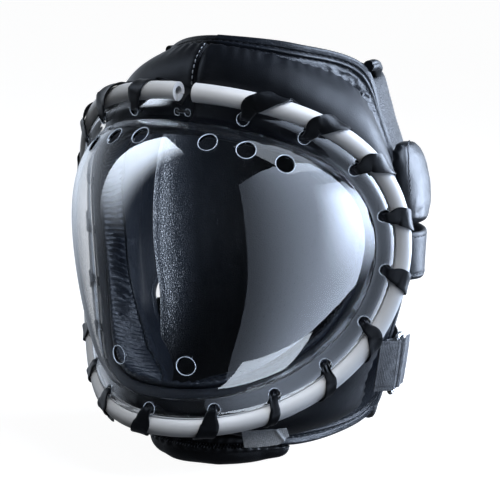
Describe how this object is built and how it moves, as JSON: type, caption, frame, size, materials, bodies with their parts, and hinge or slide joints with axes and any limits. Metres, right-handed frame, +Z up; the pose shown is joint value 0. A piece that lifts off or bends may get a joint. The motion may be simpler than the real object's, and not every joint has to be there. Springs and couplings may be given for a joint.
{
  "type": "karate head guard",
  "caption": "Padded leather head guard with a clear domed face shield laced to its front, an open crown, a separate rear panel and side straps.",
  "frame": {"origin": "on the table, under the middle of the guard's box", "axes": "+Z up from the chin to the crown, the face towards -Y, +X to the wearer's left"},
  "size_m": [0.2476, 0.2522, 0.263],
  "materials": {
    "clear_shield": "clear gloss",
    "grey_hose": "satin",
    "black_leather": "satin",
    "black_lace": "satin",
    "dark_webbing": "woven",
    "grey_tape": "woven",
    "bright_wire": "polished",
    "black_cord": "twisted"
  },
  "bodies": {
    "root": {"face_shield": "clear_shield", "rim_tube": "grey_hose", "tube_tie": "black_cord", "rim_lace": "black_lace", "front_pad": "black_leather", "front_shell": "black_leather", "chin_pad": "black_leather", "rear_pad": "black_leather", "ear_pad_left": "black_leather", "upper_strap_left": "black_leather", "lower_strap_left": "dark_webbing", "neck_strap_left": "dark_webbing", "strap_loop_left": "bright_wire", "lace_tab_left": "grey_tape", "crown_loop_left": "black_leather", "ear_pad_right": "black_leather", "upper_strap_right": "black_leather", "lower_strap_right": "dark_webbing", "neck_strap_right": "dark_webbing", "strap_loop_right": "bright_wire", "lace_tab_right": "grey_tape", "crown_loop_right": "black_leather"}
  },
  "joints": []
}
